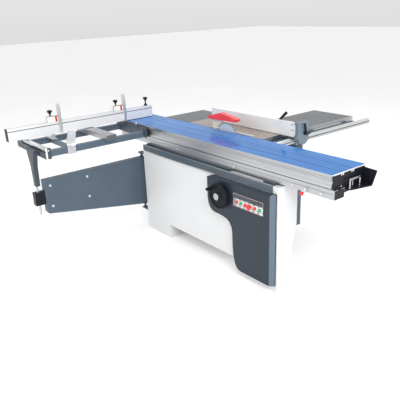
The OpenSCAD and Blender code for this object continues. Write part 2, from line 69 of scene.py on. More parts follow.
BLADE_RIM = 0.111  # radius where the blade's darker toothed band starts
CLAMP_BOLTS_X = (-1.021, -0.816)
DIALS = ((0.600, 0.592), (0.624, 0.592))  # X and Z of the meters on the switch panel
SLOT_INSETS = (214 * MM, 122 * MM)  # middles of the table's T-slots, from its +Y side


# ---- camera and light ----
def add_camera():
    """The camera stands in front of the near end and looks along the table, a little down."""
    place = Vector((2.670, -2.445, 1.733))
    forward = Vector((-0.73640, 0.57577, -0.35527))
    right = Vector((0.62686, 0.77819, -0.03817))
    up = Vector((-0.25449, 0.25082, 0.93398))
    data = bpy.data.cameras.new("camera")
    data.sensor_width = 36
    data.lens = 45.72
    data.clip_end = 100
    camera = bpy.data.objects.new("camera", data)
    bpy.context.scene.collection.objects.link(camera)
    turn = Matrix((right, up, -forward)).transposed()
    camera.matrix_world = Matrix.Translation(place) @ turn.to_4x4()
    bpy.context.scene.camera = camera


def add_area_light(name, place, target, size, power):
    data = bpy.data.lights.new(name, "AREA")
    data.shape = "RECTANGLE"
    data.size, data.size_y = size
    data.energy = power
    lamp = bpy.data.objects.new(name, data)
    lamp.location = place
    lamp.rotation_euler = (Vector(target) - Vector(place)).to_track_quat("-Z", "Y").to_euler()
    bpy.context.scene.collection.objects.link(lamp)


def add_world():
    """A pale studio: brightest overhead, greyer towards and below the horizon."""
    world = bpy.data.worlds.new("studio")
    world.use_nodes = True
    bpy.context.scene.world = world
    tree = world.node_tree
    background = tree.nodes["Background"]
    coords = tree.nodes.new("ShaderNodeTexCoord")
    split = tree.nodes.new("ShaderNodeSeparateXYZ")
    ramp = tree.nodes.new("ShaderNodeValToRGB")
    shift = tree.nodes.new("ShaderNodeMath")
    shift.operation = "MULTIPLY_ADD"  # from -1 ... 1 to the ramp's 0 ... 1, so 0.5 is the horizon
    shift.inputs[1].default_value = 0.5
    shift.inputs[2].default_value = 0.5
    stops = ramp.color_ramp.elements
    stops[0].position, stops[0].color = 0.30, (0.60, 0.61, 0.63, 1)
    stops[1].position, stops[1].color = 0.72, (1.0, 1.0, 1.0, 1)
    middle = stops.new(0.50)
    middle.color = (0.98, 0.985, 0.99, 1)
    tree.links.new(coords.outputs["Generated"], split.inputs[0])
    tree.links.new(split.outputs["Z"], shift.inputs[0])
    tree.links.new(shift.outputs[0], ramp.inputs[0])
    tree.links.new(ramp.outputs[0], background.inputs["Color"])
    background.inputs["Strength"].default_value = 0.78


# ---- procedural finishes ----
class Finish:
    """A Principled material and the nodes that feed it."""

    def __init__(self, name, metal=0.0, coat=0.0, specular=0.5):
        self.material = bpy.data.materials.new(name)
        self.material.use_nodes = True
        self.tree = self.material.node_tree
        self.shader = self.tree.nodes["Principled BSDF"]
        self.shader.inputs["Metallic"].default_value = metal
        self.shader.inputs["Coat Weight"].default_value = coat
        self.shader.inputs["Coat Roughness"].default_value = 0.06
        self.shader.inputs["Specular IOR Level"].default_value = specular
        self.coords = self.add("ShaderNodeTexCoord").outputs["Object"]

    def add(self, kind, **settings):
        node = self.tree.nodes.new(kind)
        for key, value in settings.items():
            setattr(node, key, value)
        return node

    def link(self, source, target):
        self.tree.links.new(source, target)

    def feed(self, value, socket):
        """Fills a socket with another socket's output, a number, or a vector."""
        if isinstance(value, bpy.types.NodeSocket):
            self.link(value, socket)
        else:
            socket.default_value = value

    def noise(self, scale, detail=3.0, rough=0.55):
        """Noise in cycles per metre: one number, or one each for X, Y and Z."""
        mapping = self.add("ShaderNodeMapping")
        mapping.inputs["Scale"].default_value = scale if isinstance(scale, tuple) else (scale,) * 3
        texture = self.add("ShaderNodeTexNoise")
        texture.inputs["Scale"].default_value = 1.0
        texture.inputs["Detail"].default_value = detail
        texture.inputs["Roughness"].default_value = rough
        self.link(self.coords, mapping.inputs["Vector"])
        self.link(mapping.outputs[0], texture.inputs["Vector"])
        return texture.outputs["Fac"]

    def remap(self, source, low, high, start=0.32, stop=0.68):
        """Turns start ... stop of source into low ... high, and holds it beyond them."""
        node = self.add("ShaderNodeMapRange")
        limits = (("From Min", start), ("From Max", stop), ("To Min", low), ("To Max", high))
        for key, value in limits:
            node.inputs[key].default_value = value
        self.link(source, node.inputs["Value"])
        return node.outputs["Result"]

    def mix(self, factor, first, second):
        """Mixes two colours; each is a socket or an RGB triple, and factor is a socket."""
        node = self.add("ShaderNodeMix", data_type="RGBA")
        self.feed(factor, node.inputs[0])
        for value, socket in ((first, node.inputs[6]), (second, node.inputs[7])):
            self.feed((*value, 1) if isinstance(value, tuple) else value, socket)
        return node.outputs[2]

    def maths(self, operation, first, second):
        node = self.add("ShaderNodeMath", operation=operation)
        self.feed(first, node.inputs[0])
        self.feed(second, node.inputs[1])
        return node.outputs[0]

    def vectors(self, operation, first, second):
        node = self.add("ShaderNodeVectorMath", operation=operation)
        self.feed(first, node.inputs[0])
        self.feed(second, node.inputs[1])
        return node.outputs["Value"]

    def edges(self, radius):
        """1 along convex edges and corners within radius, 0 on flat faces."""
        bevel = self.add("ShaderNodeBevel", samples=4)
        bevel.inputs["Radius"].default_value = radius
        normal = self.add("ShaderNodeNewGeometry").outputs["Normal"]
        bend = self.maths("SUBTRACT", 1.0, self.vectors("DOT_PRODUCT", bevel.outputs[0], normal))
        return self.remap(bend, 0, 1, 0.02, 0.25)

    def facing(self, axis, low, high):
        """1 where the face looks along axis, 0 where it looks elsewhere."""
        normal = self.add("ShaderNodeNewGeometry").outputs["True Normal"]
        return self.remap(self.vectors("DOT_PRODUCT", normal, axis), 0, 1, low, high)

    def clouds(self, colour, tint, scale=5):
        """The colour, in soft patches that are tint darker and tint lighter."""
        patches = self.remap(self.noise(scale, 4), 0, 1)
        return self.mix(patches, shade(colour, 1 - tint), shade(colour, 1 + tint))

    def worn(self, width, share):
        """Up to share along chipped convex edges of this width, 0 elsewhere."""
        chipped = self.remap(self.noise(70, 4), 0, share, 0.45, 0.62)
        return self.maths("MULTIPLY", self.edges(width), chipped)

    def peel(self, rough):
        """The gloss and the fine orange peel of sprayed paint."""
        self.roughness(self.remap(self.noise(28, 5), *rough))
        self.height(self.noise(620, 2), 0.05 * MM)

    def height(self, source, distance, strength=0.5):
        bump = self.add("ShaderNodeBump")
        bump.inputs["Distance"].default_value = distance
        bump.inputs["Strength"].default_value = strength
        self.link(source, bump.inputs["Height"])
        self.link(bump.outputs[0], self.shader.inputs["Normal"])

    def colour(self, source):
        self.link(source, self.shader.inputs["Base Color"])

    def roughness(self, source):
        self.link(source, self.shader.inputs["Roughness"])


def shade(colour, factor):
    return tuple(min(1.0, channel * factor) for channel in colour)


def paint(name, colour, wear, rough=(0.34, 0.5), tint=0.06, chips=0.35, width=WORN_EDGE):
    """Powder coat: cloudy colour, a fine orange peel, and edges worn to the colour wear."""
    finish = Finish(name)
    finish.colour(finish.mix(finish.worn(width, chips), finish.clouds(colour, tint), wear))
    finish.peel(rough)
    return finish.material


def drawn_metal(name, colour, along, rough=(0.24, 0.42), tint=0.07, metal=1.0, lines=900, depth=0.03):
    """Extruded, drawn or ground metal: fine lines that run along one axis."""
    finish = Finish(name, metal=metal)
    across = tuple(1.5 if axis == along else lines for axis in "xyz")
    wide = tuple(0.8 if axis == along else lines / 14 for axis in "xyz")
    line = finish.noise(across, 2, 0.7)
    band = finish.noise(wide, 3, 0.6)
    base = finish.mix(finish.remap(band, 0, 1), shade(colour, 1 - tint), shade(colour, 1 + tint))
    base = finish.mix(finish.remap(line, 0, 0.5), base, shade(colour, 1 - 2 * tint))
    smudge = finish.remap(finish.noise(9, 5), 0, 0.35, 0.42, 0.7)
    finish.colour(finish.mix(smudge, base, shade(colour, 0.86)))
    mean = finish.maths("MULTIPLY", finish.maths("ADD", line, band), 0.5)
    finish.roughness(finish.remap(mean, *rough))
    finish.height(line, depth * MM, 0.6)
    return finish.material


def plastic(name, colour, rough=(0.3, 0.45), grain=700, depth=0.04, tint=0.10, coat=0.0, specular=0.5):
    """Moulded plastic: a fine spark texture and slightly uneven gloss."""
    finish = Finish(name, coat=coat, specular=specular)
    base = finish.clouds(colour, tint, 14)
    rim = finish.maths("MULTIPLY", finish.edges(1.2 * MM), 0.25)
    finish.colour(finish.mix(rim, base, tuple(0.55 * c + 0.10 for c in colour)))
    finish.roughness(finish.remap(finish.noise(60, 4), *rough))
    finish.height(finish.noise(grain, 2), depth * MM)
    return finish.material


def cover_paint(name, colour, pale):
    """The cover's slate paint, with a painted highlight: the chamfer at its near end, which faces +X and -Y,
    is painted a paler blue-grey.
    """
    finish = Finish(name, specular=0.32)
    # painted highlight: faces looking towards +X and -Y get the pale colour, as if light fell on them
    painted_chamfer_highlight = finish.facing((math.sqrt(0.5), -math.sqrt(0.5), 0), 0.93, 0.98)
    finish.colour(finish.mix(painted_chamfer_highlight, finish.clouds(colour, 0.07), pale))
    finish.peel((0.30, 0.46))
    return finish.material


def tube_paint(name, colour, dark, border, wear):
    """Blue-grey enamel on the long tubes, darker on whatever lies outside the border along Y."""
    finish = Finish(name)
    split = finish.add("ShaderNodeSeparateXYZ")
    finish.link(finish.coords, split.inputs[0])
    outside = finish.remap(split.outputs["Y"], 1, 0, border - 0.5 * MM, border + 0.5 * MM)
    clouds = finish.add("ShaderNodeVectorMath", operation="SCALE")
    finish.link(finish.mix(outside, colour, dark), clouds.inputs[0])
    finish.link(finish.remap(finish.noise(5, 4), 0.92, 1.08), clouds.inputs["Scale"])
    finish.colour(finish.mix(finish.worn(WORN_EDGE, 0.35), clouds.outputs[0], wear))
    finish.peel((0.32, 0.48))
    return finish.material


def chrome_bar(name, colour, dark):
    """Polished chrome round bar with a painted dark reflection streak along its flank and painted shade on
    its underside.
    """
    finish = Finish(name, metal=1.0)
    wave = finish.remap(finish.noise((4, 1.2, 4), 3), 0.76, 0.95)
    # painted reflection: a dark streak on faces looking along +X; painted shade: darker faces looking down
    painted_reflection_streak = finish.maths("MULTIPLY", finish.facing((1, 0, 0.02), 0.955, 0.99), wave)
    painted_underside_shade = finish.maths("MULTIPLY", finish.facing((0.2, 0, -0.98), 0.35, 0.75), 0.7)
    finish.colour(finish.mix(finish.maths("MAXIMUM", painted_reflection_streak, painted_underside_shade), colour, dark))
    finish.roughness(finish.remap(finish.noise((30, 6, 30), 4), 0.06, 0.16))
    return finish.material


def blade_steel(name, colour, centre, rim):
    """Ground steel with lines in rings about centre and a darker band outside the radius rim."""
    finish = Finish(name, metal=0.3)
    reach = finish.vectors("DISTANCE", finish.coords, centre)
    rings = finish.add("ShaderNodeTexNoise", noise_dimensions="1D")
    rings.inputs["Scale"].default_value = 900
    finish.link(reach, rings.inputs["W"])
    line = rings.outputs["Fac"]
    base = finish.mix(finish.remap(line, 0, 1), shade(colour, 0.88), shade(colour, 1.08))
    band = finish.remap(reach, 0, 0.8, rim, rim + 1.5 * MM)
    finish.colour(finish.mix(band, base, shade(colour, 0.30)))
    finish.roughness(finish.remap(line, 0.22, 0.38))
    finish.height(line, 0.02 * MM)
    return finish.material


def film(name, colour, painted_reflection_streak, patch):
    """Glossy protective film, stretched lengthwise over the extrusion; its colour carries a painted highlight
    in lengthwise bands and thin lighter streaks.
    """
    finish = Finish(name, coat=0.15, specular=0.15)
    pull = finish.noise((1.2, 95, 10), 4, 0.6)
    thin = finish.noise((3, 420, 10), 2, 0.6)
    # painted highlight: the colour runs lighter and darker in lengthwise bands and lighter in thin streaks,
    # like light glancing off the stretched film; the same noise also sets gloss and bump
    base = finish.mix(finish.remap(pull, 0, 1), shade(colour, 0.70), shade(colour, 1.45))
    base = finish.mix(finish.remap(thin, 0, 0.40), base, painted_reflection_streak)
    patches = finish.remap(finish.noise((3, 6, 3), 3), 0, 0.25, 0.5, 0.72)
    finish.colour(finish.mix(patches, base, patch))
    finish.roughness(finish.remap(pull, 0.10, 0.24))
    finish.height(finish.maths("ADD", pull, finish.maths("MULTIPLY", thin, 0.3)), 0.10 * MM)
    return finish.material


def ground_iron(name, colour, stain):
    """A planed and oiled cast-iron table top."""
    finish = Finish(name, metal=0.55)
    scratch = finish.noise((14, 700, 14), 3, 0.65)
    cloud = finish.noise((7, 9, 7), 5)
    stained = finish.remap(finish.noise((18, 15, 18), 6), 0, 0.35, 0.52, 0.70)
    base = finish.mix(finish.remap(cloud, 0, 1), shade(colour, 0.82), shade(colour, 1.15))
    base = finish.mix(stained, base, stain)
    finish.colour(finish.mix(finish.remap(scratch, 0, 0.35), base, shade(colour, 1.5)))
    finish.roughness(finish.remap(cloud, 0.20, 0.42))
    finish.height(scratch, 0.03 * MM)
    return finish.material


def make_materials():
    """Every finish, by the name that the tables below and the dressing use."""
    pale, mirror = (0.53, 0.54, 0.555), (0.86, 0.87, 0.88)
    worn_slate, worn_blue = (0.30, 0.33, 0.36), (0.36, 0.39, 0.42)
    return {
        # paint
        "white_paint": paint(
            "white_powder_coat", (0.70, 0.705, 0.71), (0.36, 0.37, 0.38), (0.36, 0.48), 0.02,
            chips=0.8, width=2 * WORN_EDGE,
        ),
        "dark_paint": paint("slate_powder_coat", (0.042, 0.060, 0.078), worn_slate),
        "trim_paint": paint("trim_slate", (0.060, 0.083, 0.106), worn_slate),
        "grey_paint": paint("blue_grey_paint", (0.072, 0.104, 0.142), worn_blue),
        "table_paint": paint("table_grey_enamel", (0.084, 0.091, 0.099), (0.4, 0.4, 0.4), (0.26, 0.4)),
        "head_paint": paint("head_blue_grey", (0.155, 0.205, 0.250), (0.5, 0.52, 0.54), (0.3, 0.42)),
        "dark_iron": paint("dark_casting", (0.045, 0.052, 0.06), (0.25, 0.25, 0.25), (0.45, 0.65), 0.15),
        # the second colour is the painted highlight on the cover's near-end chamfer
        "cover_paint": cover_paint("cover_slate_paint", (0.021, 0.031, 0.045), (0.115, 0.155, 0.200)),
        "frame_paint": tube_paint(
            "frame_enamel", (0.086, 0.124, 0.165), (0.036, 0.050, 0.066), LEG_SIDE, worn_blue
        ),
        # bare metal; the letter is the direction of its lines
        "aluminium_x": drawn_metal("extruded_aluminium_x", pale, "x"),
        "aluminium_y": drawn_metal("extruded_aluminium_y", pale, "y"),
        "plate_x": drawn_metal("brushed_plate_x", (0.76, 0.77, 0.79), "x", (0.28, 0.5), lines=1500),
        "plate_z": drawn_metal("brushed_plate_z", (0.74, 0.75, 0.77), "z", (0.22, 0.4), lines=1300),
        "panel_grey": drawn_metal("panel_sheet", (0.40, 0.41, 0.43), "x", (0.3, 0.5), lines=1400),
        "white_metal": drawn_metal("milled_end", (0.88, 0.885, 0.89), "z", (0.35, 0.5), 0.03, 0.4, 400),
        "fence_white": drawn_metal("bright_anodised", mirror, "y", (0.34, 0.5), 0.02, 0.25, 500),
        "fence_white_x": drawn_metal("bright_anodised_x", mirror, "x", (0.34, 0.5), 0.02, 0.25, 500),
        "steel": drawn_metal("ground_steel", (0.68, 0.69, 0.70), "x", (0.2, 0.34), lines=1100),
        "steel_z": drawn_metal("blade_steel", (0.62, 0.63, 0.64), "z", (0.24, 0.4), lines=1300),
        "handle_steel": drawn_metal("handle_steel", (0.50, 0.51, 0.53), "z", (0.2, 0.35), lines=300),
        # the riving knife is steel; its cream colour is a painted highlight, the colour of the light that it
        # reflects
        "knife_painted_highlight": drawn_metal("knife_plate_painted_highlight", (0.84, 0.78, 0.62), "z", (0.35, 0.5), 0.03, 0.05),
        # the dark colour is the chrome bar's painted reflection streak and painted underside shade
        "chrome_y": chrome_bar("chrome_y", mirror, (0.03, 0.035, 0.04)),
        "blade": blade_steel("blade_steel_rings", (0.72, 0.75, 0.80), BLADE_CENTRE, BLADE_RIM),
        "cast_iron": ground_iron("planed_cast_iron", (0.335, 0.285, 0.25), (0.20, 0.15, 0.12)),
        # plastic
        "rubber": plastic("dark_insert", (0.10, 0.105, 0.12), (0.5, 0.65)),
        "black_plastic": plastic("black_moulding", (0.010, 0.011, 0.016), specular=0.20),
        "wheel_black": plastic(
            "wheel_moulding", (0.008, 0.009, 0.012), (0.36, 0.5), tint=0.06, specular=0.14
        ),
        "black_gloss": plastic("black_phenolic", (0.009, 0.009, 0.011), (0.24, 0.38), 500, 0.02, coat=0.12),
        "white_plastic": plastic("white_moulding", (0.82, 0.82, 0.80), (0.25, 0.4)),
        "red_plastic": plastic("red_guard", (0.88, 0.050, 0.056), (0.22, 0.34), 400, 0.02, 0.05, 0.3),
        "red_button": plastic("red_button", (0.72, 0.012, 0.016), (0.14, 0.24), 400, 0.01, 0.05, 0.4),
        "green_button": plastic("green_button", (0.012, 0.36, 0.16), (0.14, 0.24), 400, 0.01, 0.05, 0.4),
        "pink_print": plastic("pink_print", (0.72, 0.28, 0.32), (0.4, 0.5), 400, 0.005, 0.04),
        # the film's own blue, then the colour of its painted highlight streaks, then its lighter patches
        "blue_film": film("blue_film", (0.003, 0.103, 0.355), (0.03, 0.27, 0.70), (0.05, 0.31, 0.74)),
    }


MATERIAL = make_materials()
LOOK_OF_SLOT = {
    "white_paint": "white_paint", "dark_paint": "dark_paint", "grey_paint": "grey_paint",
    "aluminium": "aluminium_x", "aluminium_plate": "plate_x", "steel": "steel", "chrome": "chrome_y",
    "cast_iron": "cast_iron", "dark_iron": "dark_iron", "black_plastic": "black_plastic",
    "black_gloss": "wheel_black", "blue_film": "blue_film", "red_plastic": "red_plastic",
    "red_button": "red_button", "green_button": "green_button",
}
# nodes that look different from the rest of their slot
LOOK_OF_NODE = {
    "trim_band": "trim_paint", "control_cover": "cover_paint", "panel_plate": "panel_grey",
    "rear_table": "table_paint", "ext_table": "table_paint", "ext_edge": "aluminium_y",
    "fence_profile": "fence_white", "rip_fence": "fence_white_x", "head_casting": "head_paint",
    "stop_a": "white_plastic", "stop_b": "white_plastic", "flipper_a": "plate_z", "flipper_b": "plate_z",
    "saw_blade": "blade", "scoring_blade": "steel_z", "riving_knife": "knife_painted_highlight",
    "frame_tubes": "frame_paint", "arm_rod": "steel_z",
    "bail_handle": "handle_steel", "wheel_hub": "handle_steel",
}


# ---- mesh building ----
def place_piece(name, shape, body, look):
    """Turns a bmesh into a piece of the object that rides on a body."""
    mesh = bpy.data.meshes.new(name)
    shape.normal_update()
    shape.to_mesh(mesh)
    shape.free()
    mesh.polygons.foreach_set("use_smooth", [True] * len(mesh.polygons))
    mesh.set_sharp_from_angle(angle=SMOOTH)
    piece = bpy.data.objects.new(name, mesh)
    bpy.context.scene.collection.objects.link(piece)
    piece.data.materials.append(MATERIAL[look])
    normals = piece.modifiers.new("weighted_normals", "WEIGHTED_NORMAL")
    normals.keep_sharp = True
    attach(piece, body)
    return piece


def stand_for(node, shape, look):
    """Places a shape as the finished form of a CAD node."""
    piece = place_piece("look_" + node, shape, BODY_OF[node], look)
    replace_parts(piece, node)


def round_edges(shape, width):
    """Rounds every sharp edge of a bmesh."""
    sharp = [edge for edge in shape.edges if len(edge.link_faces) == 2 and edge.calc_face_angle(0) > SHARP]
    if sharp and width > 0:
        bmesh.ops.bevel(
            shape, geom=sharp, offset=width, offset_type="OFFSET", segments=2,
            profile=0.5, affect="EDGES", clamp_overlap=True, loop_slide=True,
        )


def welded(node):
    """The node's CAD surface as one clean shell, with its flat faces whole."""
    shape = bmesh.new()
    shape.from_mesh(frame["nodes"][node].data)
    bmesh.ops.remove_doubles(shape, verts=shape.verts, dist=WELD)
    bmesh.ops.dissolve_limit(
        shape, angle_limit=math.radians(0.5), use_dissolve_boundaries=False,
        verts=shape.verts, edges=shape.edges, delimit={"NORMAL"},
    )
    return shape


def refine(node, width):
    """Replaces a CAD node by the same shape with rounded edges and its finish."""
    shape = welded(node)
    round_edges(shape, width)
    stand_for(node, shape, LOOK_OF_NODE.get(node) or LOOK_OF_SLOT[SLOT_OF[node]])


def islands(shape):
    """The separate solids of a bmesh, as lists of faces."""
    left = set(shape.faces)
    groups = []
    while left:
        stack = [left.pop()]
        group = []
        while stack:
            face = stack.pop()
            group.append(face)
            for edge in face.edges:
                fresh = [other for other in edge.link_faces if other in left]
                left.difference_update(fresh)
                stack.extend(fresh)
        groups.append(group)
    return groups


def middle_of(faces):
    corners = [vert.co for face in faces for vert in face.verts]
    return Vector([(min(axis) + max(axis)) / 2 for axis in zip(*corners)])


def refine_split(node, width, choose):
    """As refine, for a node of several solids; choose gives a solid's slot and look from its middle."""
    whole = welded(node)
    looks = sorted({choose(middle_of(group)) for group in islands(whole)})
    whole.free()
    for slot, look in looks:
        shape = welded(node)
        others = [group for group in islands(shape) if choose(middle_of(group)) != (slot, look)]
        bmesh.ops.delete(shape, geom=[face for group in others for face in group], context="FACES")
        round_edges(shape, width)
        piece = place_piece("look_" + node + "_" + look, shape, BODY_OF[node], look)
        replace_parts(piece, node)


def frame_of(axis):
    """The axis as a unit vector, and two directions square to it."""
    axis = Vector(axis).normalized()
    side = axis.cross(Z if abs(axis.z) < 0.9 else X).normalized()
    return axis, side, axis.cross(side)


def revolve(shape, profile, origin, axis, segments=32, lobes=0, depth=0.0):
    """Adds a turned shape and returns its rings; profile lists (radius, height) from bottom to top.

    It is closed where the profile starts or ends on the axis.
    """
    axis, side, other = frame_of(axis)
    origin = Vector(origin)
    rings = []
    for radius, height in profile:
        if radius < 1e-6:
            rings.append([shape.verts.new(origin + axis * height)])
            continue
        ring = []
        for step in range(segments):
            angle = 2 * math.pi * step / segments
            swell = 1 + depth * math.cos(lobes * angle) if lobes else 1
            direction = side * math.cos(angle) + other * math.sin(angle)
            ring.append(shape.verts.new(origin + axis * height + direction * radius * swell))
        rings.append(ring)
    for low, high in zip(rings, rings[1:]):
        for step in range(segments):
            after = (step + 1) % segments
            pairs = ((low, step), (low, after), (high, after), (high, step))
            unique = list(dict.fromkeys(row[place % len(row)] for row, place in pairs))
            if len(unique) > 2:
                shape.faces.new(unique)
    return rings


def prism(shape, outline, origin, right, up, depth):
    """Adds a closed prism: an outline in the right and up directions, pushed along right x up."""
    right, up, origin = Vector(right), Vector(up), Vector(origin)
    out = right.cross(up).normalized()
    low = [shape.verts.new(origin + right * u + up * v) for u, v in outline]
    high = [shape.verts.new(vert.co + out * depth) for vert in low]
    shape.faces.new(list(reversed(low)))
    shape.faces.new(high)
    count = len(outline)
    for step in range(count):
        after = (step + 1) % count
        shape.faces.new([low[step], low[after], high[after], high[step]])


def slab(shape, low, high):
    """Adds a box between two corners."""
    low, high = Vector(low), Vector(high)
    size = high - low
    prism(shape, [(0, 0), (size.x, 0), (size.x, size.y), (0, size.y)], low, X, Y, size.z)


def bolt(shape, place, axis, radius, height):
    """Adds a domed screw with a hexagon socket; place is on the surface that it sits on."""
    socket, lip = 0.48 * radius, 0.62 * radius
    profile = [(radius, 0), (radius, 0.35 * height), (0.86 * radius, 0.75 * height), (lip, height)]
    rings = revolve(shape, [*profile, (socket, 0.98 * height), (socket, 0.4 * height)], place, axis, 24)
    shape.faces.new(rings[-1])
    shape.faces.new(list(reversed(rings[0])))


def add_bolts(name, places, axis, radius, height, body, look="steel"):
    shape = bmesh.new()
    for place in places:
        bolt(shape, place, axis, radius, height)
    place_piece(name, shape, body, look)


# ---- pieces with a shape of their own ----
def star_knob(node, foot):
    """A clamping knob: a lobed grip on a neck that widens towards it, on a stud or a conical foot."""
    low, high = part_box(node)
    centre = (low + high) / 2
    base = (centre.x, centre.y, low.z)
    lobes, depth = 5, 0.14
    swell = 1.09  # the lobes reach this share of the grip's radius
    radius = (high.x - low.x) / 2 / swell
    grip = 18 * MM
    neck = high.z - low.z - grip
    stud, foot_top = 5.5 * MM, 7 * MM
    shape = bmesh.new()
    stem = [(0, 0), (foot, 0), (foot, foot_top), (stud, foot_top + (foot - 5 * MM) * 1.6)]
    stem += [(stud, neck - 17 * MM), (7 * MM, neck - 12 * MM), (13 * MM, neck + 1 * MM), (0, neck + 1 * MM)]
    revolve(shape, stem, base, Z, 32)
    # shares of the grip's radius and height
    head = [(0, 0), (0.70, 0), (0.90, 0.10), (0.96, 0.30), (0.96, 0.62), (0.88, 0.84), (0.64, 0.97), (0, 1)]
    revolve(shape, [(out * radius, neck + up * grip) for out, up in head], base, Z, 80, lobes, depth)
    stand_for(node, shape, "black_plastic")


def turned_button(node, head, segments):
    """Places a turned button; head lists (radius, distance from the front) over its shank."""
    low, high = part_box(node)
    centre = (low + high) / 2
    long = high.y - low.y
    shank, shank_end = 8.6 * MM, 22 * MM
    shape = bmesh.new()
    profile = [(0, 0), (shank, 0), (shank, shank_end)]
    profile += [(radius, shank_end if down is None else long - down) for radius, down in head]
    revolve(shape, profile, (centre.x, high.y, centre.z), -Y, segments)
    stand_for(node, shape, LOOK_OF_SLOT[SLOT_OF[node]])


def push_button(node):
    """A button cap with a shallow dished face."""
    low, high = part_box(node)
    radius = (high.x - low.x) / 2
    head = [(radius, None), (radius, 1.6 * MM), (radius - 0.6 * MM, 0.5 * MM), (radius - 2 * MM, 0)]
    turned_button(node, [*head, (0.6 * radius, 0.7 * MM), (0, 1.1 * MM)], 40)


def mushroom_button(node):
    """The stop button with its wide domed head."""
    low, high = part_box(node)
    radius = (high.x - low.x) / 2
    collar = 9 * MM
    dome = [(0.93, 12), (1.0, 10), (1.0, 7.5), (0.93, 4.6), (0.74, 2.0), (0.42, 0.5), (0, 0)]
    head = [(collar, None), (collar, 13 * MM), *((share * radius, down * MM) for share, down in dome)]
    turned_button(node, head, 48)


def ring(shape, inner, outer, low, high, origin, axis, segments=40):
    """Adds a collar with a chamfered outer lip."""
    lip = 0.8 * MM
    profile = [(inner, low), (outer, low), (outer, high - lip), (outer - lip, high), (inner, high)]
    rings = revolve(shape, profile, origin, axis, segments)
    for step in range(segments):
        after = (step + 1) % segments
        shape.faces.new([rings[-1][step], rings[-1][after], rings[0][after], rings[0][step]])


def add_slab(name, low, high, body, look, rounding=0.4 * MM):
    shape = bmesh.new()
    slab(shape, low, high)
    round_edges(shape, rounding)
    place_piece(name, shape, body, look)


def fitting_look(middle):
    """A bright swivel post; the clamp plate and the roller brackets are dark."""
    from_end = middle.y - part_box("frame_fittings")[0].y
    if 50 * MM <= from_end < 400 * MM:
        return "aluminium_plate", "plate_x"
    return "dark_paint", "dark_paint"


def block_look(middle):
    """The post under the extension table is blue-grey, and every other block dark."""
    slot = "grey_paint" if middle.x > 250 * MM and middle.y > 0 else "dark_paint"
    return slot, slot


def dress_outrigger():
    """The roller's stay, bolts of the clamp plate, and the slat's end cap and ribs."""
    body = BODY_OF["frame_slat"]
    low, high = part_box("frame_roller")
    add_slab(
        "roller_stay", (high.x - 4 * MM, low.y - 3 * MM, high.z - 84 * MM),
        (high.x - 2 * MM, low.y + 9 * MM, high.z + 2 * MM), body, "white_plastic",
    )
    bolt_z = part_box("frame_fittings")[1].z - 24 * MM
    plate_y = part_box("table_extrusion")[0].y - 26 * MM
    add_bolts("clamp_bolts", [(x, plate_y, bolt_z) for x in CLAMP_BOLTS_X], -Y, 10 * MM, 6 * MM, body)
    low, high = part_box("frame_slat")
    cap_end = (high.x + 3 * MM, high.y, high.z)
    add_slab("slat_cap", (high.x, low.y, low.z), cap_end, body, "rubber", 1 * MM)
    half, tall = 4 * MM, 1.4 * MM
    ribs = bmesh.new()
    for share in (0.08, 0.5, 0.92):
        middle = low.y + share * (high.y - low.y)
        slab(ribs, (low.x, middle - half, high.z), (high.x, middle + half, high.z + tall))
    place_piece("slat_ribs", ribs, body, "aluminium_x")


def dress_stops():
    """A red witness strip and a black cap and edge on each flip stop."""
    for node in ("stop_a", "stop_b"):
        low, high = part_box(node)
        body, top, base = BODY_OF[node], high.z, high.z - 41 * MM
        left, right = low.y, low.y + 86 * MM
        back, front = high.x - 3 * MM, high.x + 1 * MM
        under_lid, lid_top, side = top - 1 * MM, top + 1.4 * MM, 1.4 * MM
        strip_end = (high.x + 1.5 * MM, right - 8 * MM, under_lid)
        plates = (
            ("_witness", (high.x, right - 22 * MM, base), strip_end, "red_button"),
            ("_cap", (back, left, under_lid), (front, right, lid_top), "black_plastic"),
            ("_edge", (back, left - side, base), (front, left, lid_top), "black_plastic"),
        )
        for name, start, end, look in plates:
            add_slab(node + name, start, end, body, look)


def dress_table():
    """Film lips over the T-slots, and the bright profile that shows at the table's ends."""
    low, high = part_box("table_extrusion")
    film_low, film_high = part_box("table_film")
    body = BODY_OF["table_film"]
    slots = [high.y - inset for inset in SLOT_INSETS]
    lips, ends = bmesh.new(), bmesh.new()
    proud = 5 * MM

    def beside(middle, inner, outer):
        """The two strips from inner to outer on either side of a slot's middle, along Y."""
        return [sorted((middle + side * outer, middle + side * inner)) for side in (-1, 1)]

    for middle in slots:
        for near, far in beside(middle, 1.6 * MM, 4 * MM):
            slab(lips, (film_low.x, near, film_low.z), (film_high.x, far, film_high.z))
    place_piece("film_lips", lips, body, "blue_film")
    flange_top, flange_base, web_base = high.z - 1 * MM, high.z - 6 * MM, high.z - 18 * MM
    for x in (low.x - proud, high.x):
        slab(ends, (x, low.y + 3 * MM, flange_base), (x + proud, high.y - 3 * MM, flange_top))
        for middle in slots:
            for near, far in beside(middle, 5 * MM, 12.5 * MM):
                slab(ends, (x, near, web_base), (x + proud, far, flange_base))
    place_piece("table_end_profile", ends, body, "white_metal")


